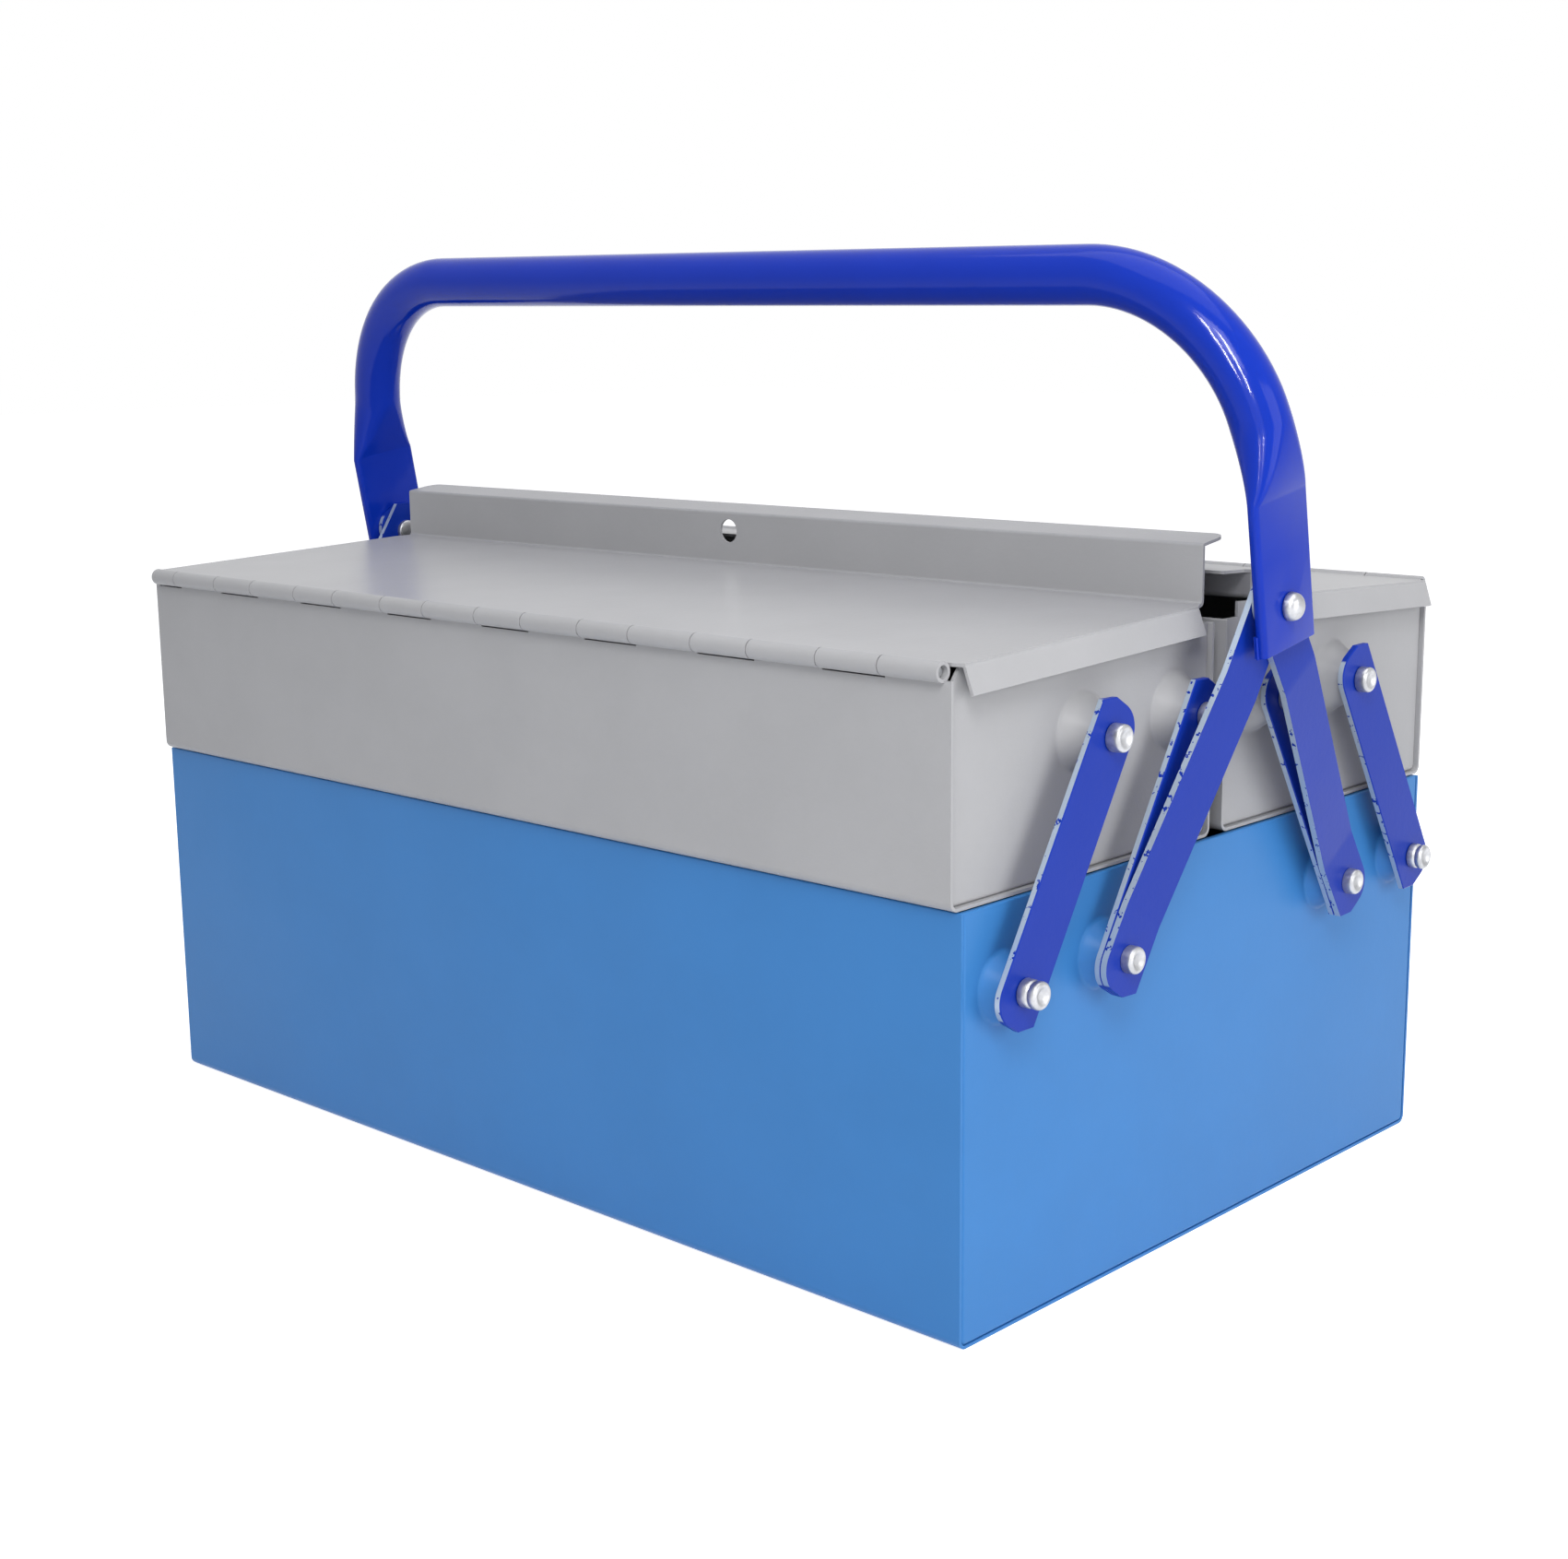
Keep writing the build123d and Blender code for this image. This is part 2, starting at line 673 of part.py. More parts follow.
def make_linkage():
    """Strap links and the A-frames of long arms."""
    for name, pivot in (("outer_link", outer_pivot), ("inner_link", inner_pivot)):
        low = (-pivot, pivot_height)
        high = (link_run - pivot, upper_height)
        save_all_corners(link(low, high), name)
    front_arm = long_arm((-inner_pivot, pivot_height), apex, front_arm_x)
    save_both_ends(front_arm, "front_long_arm")
    rear_arm = long_arm((-inner_pivot, pivot_height), apex, rear_arm_x)
    save_both_ends(mirrored(rear_arm, REAR_SIDE), "rear_long_arm")


def make_handle():
    """Handle and the rivets that it turns on."""
    save(handle(), "handle")
    save_both_ends(handle_rivet(), "handle_rivet")


make_base()
make_trays()
make_lids()
make_linkage()
make_handle()
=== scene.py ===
"""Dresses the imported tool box.

The CAD nodes get enamel and bare steel finishes. Rivets, hinge wires and the bail handle are modelled anew
and take the places of their nodes. A plain pale studio holds the lamps and the camera.
"""

import json
import logging
import math
from dataclasses import dataclass
from enum import Enum

import bpy
from mathutils import Matrix, Vector

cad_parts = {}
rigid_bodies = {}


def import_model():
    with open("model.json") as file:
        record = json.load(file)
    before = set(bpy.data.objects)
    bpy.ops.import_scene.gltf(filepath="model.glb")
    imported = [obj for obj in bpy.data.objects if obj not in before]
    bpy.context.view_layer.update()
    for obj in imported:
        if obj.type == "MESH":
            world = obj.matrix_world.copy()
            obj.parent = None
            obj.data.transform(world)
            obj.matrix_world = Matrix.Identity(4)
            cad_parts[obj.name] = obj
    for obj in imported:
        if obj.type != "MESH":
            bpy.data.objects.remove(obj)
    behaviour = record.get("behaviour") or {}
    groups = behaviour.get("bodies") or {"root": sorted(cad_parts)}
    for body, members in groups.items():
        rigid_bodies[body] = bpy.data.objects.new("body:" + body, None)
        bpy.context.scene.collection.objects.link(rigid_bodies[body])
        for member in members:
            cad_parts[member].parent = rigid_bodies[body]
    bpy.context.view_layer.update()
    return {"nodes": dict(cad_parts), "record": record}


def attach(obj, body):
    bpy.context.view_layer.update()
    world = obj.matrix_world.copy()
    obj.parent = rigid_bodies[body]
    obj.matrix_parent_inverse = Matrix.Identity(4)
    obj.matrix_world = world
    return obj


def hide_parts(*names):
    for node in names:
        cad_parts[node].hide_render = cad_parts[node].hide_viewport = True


log = logging.getLogger("tool_box")

Point = tuple[float, float, float]
Colour = tuple[float, float, float]
# A point of a turned profile: place along X and distance from the axis, in millimetres.
ProfilePoint = tuple[float, float]

# The pieces' sizes are in millimetres; Blender's unit is the metre.
MM = 0.001
# Height of the handle's pivots above the floor, in millimetres.
HANDLE_PIVOT = 206.5
PHOTO_WIDTH = 1701


def linear(red: int, green: int, blue: int) -> Colour:
    """Turn an 8-bit screen colour into the linear colour that shaders use.

    Args:
        red: Red, 0 to 255.
        green: Green, 0 to 255.
        blue: Blue, 0 to 255.

    Returns:
        The same colour in linear light.
    """
    channels = []
    for value in (red, green, blue):
        share = value / 255
        channels.append(share / 12.92 if share <= 0.04045 else ((share + 0.055) / 1.055) ** 2.4)
    return (channels[0], channels[1], channels[2])


class End(Enum):
    """The two ends of the box, with the side of X that each is on."""

    RIGHT = 1
    LEFT = -1


class Side(Enum):
    """The two long sides of the box, with the side of Y that each is on."""

    FRONT = -1
    REAR = 1


class NodeTree:
    """Places and joins shader nodes in one tree."""

    def __init__(self, tree: bpy.types.NodeTree) -> None:
        """Keep the tree and start placing nodes from its left.

        Args:
            tree: The material's, world's or group's tree.
        """
        self.tree = tree
        self.count = 0

    def add(self, kind: str, **inputs: object) -> bpy.types.Node:
        """Add a node and set its inputs by name.

        Args:
            kind: The node's type name.
            **inputs: Values or output sockets; underscores stand for spaces.

        Returns:
            The new node.
        """
        node = self.tree.nodes.new(kind)
        node.location = (self.count % 8 * 200, self.count // 8 * -260)
        self.count += 1
        for name, value in inputs.items():
            self.feed(node.inputs[name.replace("_", " ")], value)
        return node

    def feed(self, socket: bpy.types.NodeSocket, value: object) -> None:
        """Set a socket to a value, or join another node's output to it.

        Args:
            socket: The input socket.
            value: A value or an output socket.
        """
        if isinstance(value, bpy.types.NodeSocket):
            self.tree.links.new(value, socket)
        else:
            socket.default_value = value

    def math(self, operation: str, first: object, second: object = 0.0) -> bpy.types.NodeSocket:
        """Add a Math node.

        Args:
            operation: Blender's name of the operation.
            first: First value or socket.
            second: Second value or socket.

        Returns:
            The result's socket.
        """
        node = self.add("ShaderNodeMath")
        node.operation = operation
        self.feed(node.inputs[0], first)
        self.feed(node.inputs[1], second)
        return node.outputs[0]

    def spread(
        self, value: object, low: float, high: float, start: float = 0.0, stop: float = 1.0
    ) -> bpy.types.NodeSocket:
        """Map a value smoothly from one span to another and clamp it.

        Args:
            value: The socket to map.
            low: Value that becomes start.
            high: Value that becomes stop.
            start: Result at low.
            stop: Result at high.

        Returns:
            The mapped socket.
        """
        node = self.add("ShaderNodeMapRange", Value=value)
        node.interpolation_type = "SMOOTHSTEP"
        node.inputs["From Min"].default_value = low
        node.inputs["From Max"].default_value = high
        node.inputs["To Min"].default_value = start
        node.inputs["To Max"].default_value = stop
        return node.outputs["Result"]

    def noise(
        self, vector: object, scale: object, detail: float = 2.0, rough: float = 0.5
    ) -> bpy.types.NodeSocket:
        """Add a noise texture.

        Args:
            vector: Socket of its coordinates.
            scale: Cells per metre, or their socket.
            detail: Octaves.
            rough: Weight of the finer octaves.

        Returns:
            The noise value's socket.
        """
        node = self.add("ShaderNodeTexNoise", Vector=vector, Scale=scale, Detail=detail, Roughness=rough)
        return node.outputs["Fac"]

    def mix(self, share: object, first: object, second: object) -> bpy.types.NodeSocket:
        """Mix two colours by a share.

        Args:
            share: Share of the second colour.
            first: First colour or socket.
            second: Second colour or socket.

        Returns:
            The mixed colour's socket.
        """
        node = self.add("ShaderNodeMix")
        node.data_type = "RGBA"
        self.feed(node.inputs["Factor"], share)
        colours = [socket for socket in node.inputs if socket.type == "RGBA"]
        for socket, value in zip(colours, (first, second)):
            self.feed(socket, value if isinstance(value, bpy.types.NodeSocket) else (*value, 1.0))
        return next(socket for socket in node.outputs if socket.type == "RGBA")


def new_material(name: str) -> tuple[bpy.types.Material, NodeTree, bpy.types.Node]:
    """Create a material.

    Args:
        name: The material's name.

    Returns:
        The material, its nodes and its Principled shader.
    """
    made = bpy.data.materials.new(name)
    made.use_nodes = True
    return made, NodeTree(made.node_tree), made.node_tree.nodes["Principled BSDF"]


class EffectGroups:
    """Shader node groups that several finishes share, each built once."""

    GRIT_FINENESS = 3.7
    GRIT_HEIGHT = 0.3
    NIB_CELLS = 170.0
    NIB_RARITY = 0.88
    PATCH_CELLS = 420.0

    def __init__(self) -> None:
        """Build every group."""
        self.enamel_skin = self._enamel_skin()
        self.cut_edge = self._cut_edge()
        self.handling = self._handling()

    def _start(
        self, name: str, inputs: dict[str, float], outputs: tuple[str, ...]
    ) -> tuple[bpy.types.NodeTree, NodeTree, bpy.types.Node, bpy.types.Node]:
        """Create a group whose sockets carry numbers.

        Args:
            name: The group's name.
            inputs: Default of each input, by its name.
            outputs: Name of each output.

        Returns:
            The group, its nodes, its input node and its output node.
        """
        group = bpy.data.node_groups.new(name, "ShaderNodeTree")
        for label, default in inputs.items():
            socket = group.interface.new_socket(label, in_out="INPUT", socket_type="NodeSocketFloat")
            socket.default_value = default
        for label in outputs:
            group.interface.new_socket(label, in_out="OUTPUT", socket_type="NodeSocketFloat")
        nodes = NodeTree(group)
        return group, nodes, nodes.add("NodeGroupInput"), nodes.add("NodeGroupOutput")

    def _enamel_skin(self) -> bpy.types.NodeTree:
        """Build orange-peel height with sparse dust nibs, and the faint mottling of a sprayed coat.

        Returns:
            The group.
        """
        group, nodes, given, result = self._start(
            "enamel_skin",
            {"Peel Scale": 400.0, "Mottle Scale": 60.0, "Nib Height": 0.0},
            ("Height", "Mottle"),
        )
        place = nodes.add("ShaderNodeTexCoord").outputs["Object"]
        peel = nodes.noise(place, given.outputs["Peel Scale"])
        fine = nodes.math("MULTIPLY", given.outputs["Peel Scale"], self.GRIT_FINENESS)
        grit = nodes.math("MULTIPLY", nodes.noise(place, fine, detail=1.0), self.GRIT_HEIGHT)
        mottle = nodes.noise(place, given.outputs["Mottle Scale"], detail=4.0, rough=0.62)
        nodes.feed(result.inputs["Mottle"], nodes.spread(mottle, 0.32, 0.68))
        grains = nodes.add("ShaderNodeTexVoronoi", Vector=place, Scale=self.NIB_CELLS)
        near = nodes.spread(grains.outputs["Distance"], 0.02, 0.09, 1.0, 0.0)
        rare = nodes.math("GREATER_THAN", grains.outputs["Color"], self.NIB_RARITY)
        nib = nodes.math("MULTIPLY", nodes.math("MULTIPLY", near, rare), given.outputs["Nib Height"])
        skin = nodes.math("ADD", peel, grit)
        nodes.feed(result.inputs["Height"], nodes.math("ADD", skin, nib))
        return group

    def _cut_edge(self) -> bpy.types.NodeTree:
        """Build the mask of the sheared long edges, which face the front or the rear.

        Leftover paint breaks it up.

        Returns:
            The group.
        """
        group, nodes, given, result = self._start("cut_edge", {"Paint Left": 0.37}, ("Mask",))
        coords = nodes.add("ShaderNodeTexCoord")
        normal = nodes.add("ShaderNodeSeparateXYZ", Vector=coords.outputs["Normal"])
        facing = nodes.math("ABSOLUTE", normal.outputs["Y"])
        edge = nodes.spread(facing, 0.72, 0.80)
        patches = nodes.noise(coords.outputs["Object"], self.PATCH_CELLS, detail=3.0, rough=0.6)
        bare = nodes.math("GREATER_THAN", patches, given.outputs["Paint Left"])
        nodes.feed(result.inputs["Mask"], nodes.math("MULTIPLY", edge, bare))
        return group

    def _handling(self) -> bpy.types.NodeTree:
        """Build the faint smears that dull the gloss.

        Returns:
            The group.
        """
        group, nodes, given, result = self._start("handling", {"Smear Scale": 18.0}, ("Smears",))
        place = nodes.add("ShaderNodeTexCoord").outputs["Object"]
        smear = nodes.noise(place, given.outputs["Smear Scale"], detail=5.0, rough=0.6)
        nodes.feed(result.inputs["Smears"], nodes.spread(smear, 0.35, 0.7))
        return group

    def place(self, nodes: NodeTree, group: bpy.types.NodeTree, **inputs: float) -> bpy.types.Node:
        """Place a group in a material.

        Args:
            nodes: The material's nodes.
            group: The group to place.
            **inputs: Its values; underscores stand for spaces.

        Returns:
            The group's node.
        """
        node = nodes.add("ShaderNodeGroup")
        node.node_tree = group
        for name, value in inputs.items():
            node.inputs[name.replace("_", " ")].default_value = value
        return node


@dataclass(frozen=True, kw_only=True)
class Finish:
    """What enamel and bare steel share; scales are cells per metre, depths metres."""

    name: str
    colour: Colour
    roughness: float
    grain_scale: float
    grain_depth: float
    smear_scale: float
    smear_dulling: float

    def feed_surface(
        self, groups: EffectGroups, nodes: NodeTree, shader: bpy.types.Node, skin: bpy.types.Node
    ) -> None:
        """Feed the smeared gloss and the fine relief to the shader.

        Args:
            groups: The shared effects.
            nodes: The material's nodes.
            shader: Its shader.
            skin: Its enamel_skin node.
        """
        touch = groups.place(nodes, groups.handling, Smear_Scale=self.smear_scale)
        dulled = self.roughness + self.smear_dulling
        rough = nodes.spread(touch.outputs["Smears"], 0.0, 1.0, self.roughness, dulled)
        nodes.feed(shader.inputs["Roughness"], rough)
        bump = nodes.add("ShaderNodeBump", Height=skin.outputs["Height"], Distance=self.grain_depth)
        nodes.feed(shader.inputs["Normal"], bump.outputs["Normal"])


@dataclass(frozen=True, kw_only=True)
class Enamel(Finish):
    """Sprayed enamel on sheet steel, worn to bare metal along sheared edges where a part has them."""

    shine: float
    nibs: float = 0.0
    mottle: float = 0.02
    mottle_scale: float = 22.0
    smear_scale: float = 14.0
    smear_dulling: float = 0.03
    cut_edges: bool = False
    paint_left: float = 0.37
    bare: Colour = (0.42, 0.50, 0.61)
    bare_metallic: float = 0.35

    def material(self, groups: EffectGroups) -> bpy.types.Material:
        """Build the enamel's material.

        Args:
            groups: The shared effects.

        Returns:
            The material.
        """
        made, nodes, shader = new_material(self.name)
        shader.inputs["Specular IOR Level"].default_value = self.shine
        skin = groups.place(
            nodes, groups.enamel_skin,
            Peel_Scale=self.grain_scale, Mottle_Scale=self.mottle_scale, Nib_Height=self.nibs,
        )
        light = tuple(c * (1 + self.mottle) for c in self.colour)
        dark = tuple(c * (1 - self.mottle) for c in self.colour)
        colour = nodes.mix(skin.outputs["Mottle"], dark, light)
        if self.cut_edges:
            edge = groups.place(nodes, groups.cut_edge, Paint_Left=self.paint_left)
            colour = nodes.mix(edge.outputs["Mask"], colour, self.bare)
            metal = nodes.math("MULTIPLY", edge.outputs["Mask"], self.bare_metallic)
            nodes.feed(shader.inputs["Metallic"], metal)
        nodes.feed(shader.inputs["Base Color"], colour)
        self.feed_surface(groups, nodes, shader, skin)
        return made


@dataclass(frozen=True, kw_only=True)
class BareSteel(Finish):
    """Zinc-plated or drawn steel with a fine grain and dull spots."""

    metallic: float
    grain_scale: float = 900.0
    grain_depth: float = 0.00004
    spot_scale: float = 260.0
    spot_share: float = 0.72
    smear_scale: float = 160.0
    smear_dulling: float = 0.15

    def material(self, groups: EffectGroups) -> bpy.types.Material:
        """Build the steel's material.

        Args:
            groups: The shared effects.

        Returns:
            The material.
        """
        made, nodes, shader = new_material(self.name)
        shader.inputs["Metallic"].default_value = self.metallic
        skin = groups.place(
            nodes, groups.enamel_skin, Peel_Scale=self.grain_scale, Mottle_Scale=self.spot_scale
        )
        dull = tuple(c * self.spot_share for c in self.colour)
        nodes.feed(shader.inputs["Base Color"], nodes.mix(skin.outputs["Mottle"], self.colour, dull))
        self.feed_surface(groups, nodes, shader, skin)
        return made


FINISHES = (
    Enamel(
        name="base_blue", colour=(0.044, 0.200, 0.500),
        roughness=0.38, shine=0.18, grain_scale=330.0, grain_depth=0.00003,
    ),
    Enamel(
        name="tray_grey", colour=linear(170, 170, 172),
        roughness=0.30, shine=0.09, grain_scale=620.0, grain_depth=0.00006, nibs=2.2,
    ),
    Enamel(
        name="strap_blue", colour=(0.005, 0.031, 0.335),
        roughness=0.34, shine=0.14, grain_scale=380.0, grain_depth=0.00004, cut_edges=True,
    ),
    Enamel(
        name="handle_blue", colour=(0.004, 0.030, 0.400),
        roughness=0.11, shine=0.13, grain_scale=240.0, grain_depth=0.00004,
    ),
    BareSteel(name="rivet_zinc", colour=linear(192, 193, 196), roughness=0.30, metallic=0.85),
    BareSteel(name="hinge_wire", colour=linear(170, 172, 175), roughness=0.38, metallic=0.9),
)


class ModelPiece:
    """Steps that the new pieces share; welds in millimetres, smoothing in degrees."""

    WELD = 0.002
    SMOOTH_BELOW = 40.0

    @staticmethod
    def pick(*pieces: bpy.types.Object) -> None:
        """Select these pieces alone, with the first as the active one.

        Args:
            *pieces: What to select; without any, the next operator's new piece stands alone.
        """
        for thing in bpy.data.objects:
            thing.select_set(False)
        for piece in pieces:
            piece.select_set(True)
        if pieces:
            bpy.context.view_layer.objects.active = pieces[0]

    @staticmethod
    def settle(piece: bpy.types.Object, matrix: Matrix) -> None:
        """Write a placement into the piece's mesh and leave its object at the origin.

        Args:
            piece: The finished piece.
            matrix: Where its mesh goes.
        """
        piece.data.transform(matrix)
        if matrix.is_negative:
            piece.data.flip_normals()
        piece.matrix_world = Matrix.Identity(4)

    @staticmethod
    def lathe(name: str, profile: list[ProfilePoint], steps: int) -> bpy.types.Object:
        """Spin a half profile round the X axis.

        Args:
            name: The piece's name.
            profile: Its points in millimetres, first and last on the axis.
            steps: Faces round the axis.

        Returns:
            The closed, smooth piece.
        """
        points = [Vector((along * MM, 0.0, radius * MM)) for along, radius in profile]
        ModelPiece.pick()
        bpy.ops.mesh.primitive_plane_add(size=MM)
        piece = bpy.context.active_object
        piece.name = name
        bpy.ops.object.mode_set(mode="EDIT")
        bpy.ops.mesh.merge(type="CENTER")
        bpy.ops.transform.translate(value=points[0])
        for here, there in zip(points, points[1:]):
            bpy.ops.mesh.extrude_region_move(TRANSFORM_OT_translate={"value": there - here})
        bpy.ops.mesh.select_all(action="SELECT")
        bpy.ops.mesh.spin(steps=steps, angle=math.tau, center=(0.0, 0.0, 0.0), axis=(1.0, 0.0, 0.0))
        bpy.ops.mesh.select_all(action="SELECT")
        bpy.ops.mesh.remove_doubles(threshold=ModelPiece.WELD * MM)
        bpy.ops.mesh.normals_make_consistent(inside=False)
        bpy.ops.object.mode_set(mode="OBJECT")
        bpy.ops.object.shade_smooth_by_angle(angle=math.radians(ModelPiece.SMOOTH_BELOW))
        return piece

    @staticmethod
    def join(name: str, pieces: list[bpy.types.Object]) -> bpy.types.Object:
        """Join finished pieces into one object.

        Args:
            name: The joined piece's name.
            pieces: What to join.

        Returns:
            The one object.
        """
        ModelPiece.pick(*pieces)
        bpy.ops.object.join()
        pieces[0].name = name
        return pieces[0]


@dataclass(frozen=True)
class RivetPlace:
    """Where one rivet stands on the right end, and how far its tail runs, in millimetres."""

    side: Side
    from_middle: float
    height: float
    tail_foot: float
    tail_length: float


# At the base's inner pivots a long arm lies over the strap link, so these tails start 2 mm further out.
BASE_RIVETS = (
    RivetPlace(Side.FRONT, from_middle=112.6, height=106.0, tail_foot=208.6, tail_length=6.4),
    RivetPlace(Side.FRONT, from_middle=64.6, height=106.0, tail_foot=210.6, tail_length=3.8),
    RivetPlace(Side.REAR, from_middle=64.6, height=106.0, tail_foot=210.6, tail_length=3.8),
    RivetPlace(Side.REAR, from_middle=112.6, height=106.0, tail_foot=208.6, tail_length=5.4),
)
TRAY_RIVETS = (
    RivetPlace(Side.FRONT, from_middle=71.4, height=174.0, tail_foot=208.6, tail_length=4.6),
    RivetPlace(Side.FRONT, from_middle=23.4, height=174.0, tail_foot=208.6, tail_length=3.7),
    RivetPlace(Side.REAR, from_middle=71.4, height=174.0, tail_foot=208.6, tail_length=4.0),
    RivetPlace(Side.REAR, from_middle=23.4, height=174.0, tail_foot=208.6, tail_length=3.7),
)


@dataclass
class RivetSet:
    """Semi-tubular rivets: low head inside the box, shank, and a rolled tail with a dimple outside."""

    materials: dict[str, bpy.types.Material]
    under_head: float = 205.2
    head_height: float = 1.8
    head_radius: float = 5.5
    shank_radius: float = 3.0
    tail_radius: float = 4.3
    long_tail: float = 5.0
    neck_share: float = 0.53
    neck_depth: float = 0.42
    rim_radius: float = 1.05
    rim_drop: float = 0.06
    dimple_depth: float = 1.0
    turn_per_mm: float = 0.37
    steps: int = 40

    def _head(self) -> list[ProfilePoint]:
        """Work out the half profile of the low domed head and the foot of the shank.

        Returns:
            Its points.
        """
        top = self.under_head - self.head_height
        return [
            (top, 0.0), (top, 3.2), (top + 0.15, 4.3), (top + 0.5, 5.1), (top + 1.0, self.head_radius),
            (self.under_head, self.head_radius), (self.under_head, self.shank_radius),
        ]

    def _tail(self, place: RivetPlace) -> list[ProfilePoint]:
        """Work out the half profile of the tail: a collar, and a rolled rim round its dimple.

        A long tail has a neck between the two.

        Args:
            place: The rivet's place and tail.

        Returns:
            Its points.
        """
        foot = place.tail_foot
        tip = foot + place.tail_length
        full = self.tail_radius
        line = [
            (foot, self.shank_radius), (foot, full - 0.25), (foot + 0.12, full - 0.06), (foot + 0.4, full),
        ]
        if place.tail_length > self.long_tail:
            neck = foot + place.tail_length * self.neck_share
            line += [(neck - 0.75, full), (neck - 0.35, full - self.neck_depth * 0.45)]
            line += [(neck, full - self.neck_depth), (neck + 0.4, full - self.neck_depth * 0.4)]
        middle = tip - self.rim_radius
        line.append((middle - 0.25, full - self.rim_drop / 2))
        for turn in range(8, 129, 20):
            angle = math.radians(turn)
            radius = full - self.rim_drop - self.rim_radius * (1 - math.cos(angle))
            line.append((middle + self.rim_radius * math.sin(angle), radius))
        floor = tip - self.dimple_depth
        return line + [(floor + 0.22, 1.75), (floor + 0.06, 1.1), (floor, 0.0)]

    def _one(self, end: End, place: RivetPlace) -> bpy.types.Object:
        """Model one rivet and stand it at its pivot.

        Args:
            end: End of the box.
            place: The rivet's place and tail.

        Returns:
            The rivet.
        """
        rivet = ModelPiece.lathe("rivet", self._head() + self._tail(place), self.steps)
        # Each rivet is turned by an angle of its own, so that their facets don't all line up.
        turn = Matrix.Rotation(self.turn_per_mm * (place.height - place.from_middle), 4, "X")
        along = Matrix.Scale(end.value, 4, (1.0, 0.0, 0.0))
        stand = Matrix.Translation((0.0, place.side.value * place.from_middle * MM, place.height * MM))
        ModelPiece.settle(rivet, stand @ along @ turn)
        return rivet

    def build(self, node: str, body: str, end: End, places: tuple[RivetPlace, ...]) -> None:
        """Model a node's rivets as one piece and let it take the node's place.

        Args:
            node: The CAD node.
            body: The body that it rides on.
            end: End of the box.
            places: Place and tail of each rivet.
        """
        piece = ModelPiece.join(f"{node}_formed", [self._one(end, place) for place in places])
        piece.data.materials.append(self.materials["rivet_zinc"])
        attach(piece, body)
        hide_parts(node)
        log.info("modelled %s, %d rivets", piece.name, len(places))

    def build_all(self) -> None:
        """Model the pivots of the base and of both trays at both ends."""
        for end in End:
            self.build(f"base_rivets_{end.name.lower()}", "base", end, BASE_RIVETS)
            for side in Side:
                places = tuple(place for place in TRAY_RIVETS if place.side is side)
                name = side.name.lower()
                self.build(f"{name}_tray_rivets_{end.name.lower()}", f"{name}_tray", end, places)


@dataclass
class HandleRivet:
    """Domed rivet that the handle turns on."""

    materials: dict[str, bpy.types.Material]
    back: float = 212.3
    back_face: float = 214.3
    dome_foot: float = 223.2
    dome_rim: float = 0.7
    dome_height: float = 4.2
    dome_rise_power: float = 0.92
    dome_round_power: float = 0.8
    radius: float = 4.5
    shank_radius: float = 3.0
    steps: int = 48

    def _profile(self) -> list[ProfilePoint]:
        """Work out the half profile of the low back head, the shank and the dome.

        Returns:
            Its points.
        """
        rim = self.dome_foot + self.dome_rim
        line = [
            (self.back, 0.0), (self.back, 3.8), (self.back + 0.25, 4.3), (self.back + 0.6, self.radius),
            (self.back_face, self.radius), (self.back_face, self.shank_radius),
            (self.dome_foot, self.shank_radius), (self.dome_foot, self.radius - 0.12),
            (self.dome_foot + 0.15, self.radius), (rim, self.radius),
        ]
        rise = self.dome_height - self.dome_rim
        for turn in range(12, 90, 11):
            angle = math.radians(turn)
            along = rim + rise * math.sin(angle) ** self.dome_rise_power
            line.append((along, self.radius * math.cos(angle) ** self.dome_round_power))
        return line + [(self.dome_foot + self.dome_height, 0.0)]

    def build(self, end: End) -> None:
        """Model the rivet of one end and let it take its node's place.

        Args:
            end: End of the box.
        """
        name = f"handle_rivet_{end.name.lower()}"
        piece = ModelPiece.lathe(f"{name}_formed", self._profile(), self.steps)
        along = Matrix.Scale(end.value, 4, (1.0, 0.0, 0.0))
        ModelPiece.settle(piece, Matrix.Translation((0.0, 0.0, HANDLE_PIVOT * MM)) @ along)
        piece.data.materials.append(self.materials["rivet_zinc"])
        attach(piece, "base")
        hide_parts(name)
        log.info("modelled %s", piece.name)


@dataclass
class HingeWire:
    """Straight wire of one lid hinge, cut a little short of its end knuckles."""

    materials: dict[str, bpy.types.Material]
    half_length: float = 194.6
    radius: float = 1.92
    break_edge: float = 0.35
    stand_off: float = 134.6
    height: float = 199.3
    steps: int = 24

    def build(self, side: Side) -> None:
        """Model the wire of one tray and let it take its node's place.

        Args:
            side: Long side of the box.
        """
        end = self.half_length
        right = [(end - self.break_edge, self.radius), (end, self.radius - self.break_edge), (end, 0.0)]
        left = [(-along, radius) for along, radius in reversed(right)]
        name = f"{side.name.lower()}_hinge_pin"
        piece = ModelPiece.lathe(f"{name}_wire", left + right, self.steps)
        place = Vector((0.0, side.value * self.stand_off, self.height)) * MM
        ModelPiece.settle(piece, Matrix.Translation(place))
        piece.data.materials.append(self.materials["hinge_wire"])
        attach(piece, f"{side.name.lower()}_tray")
        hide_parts(name)
        log.info("modelled %s", piece.name)


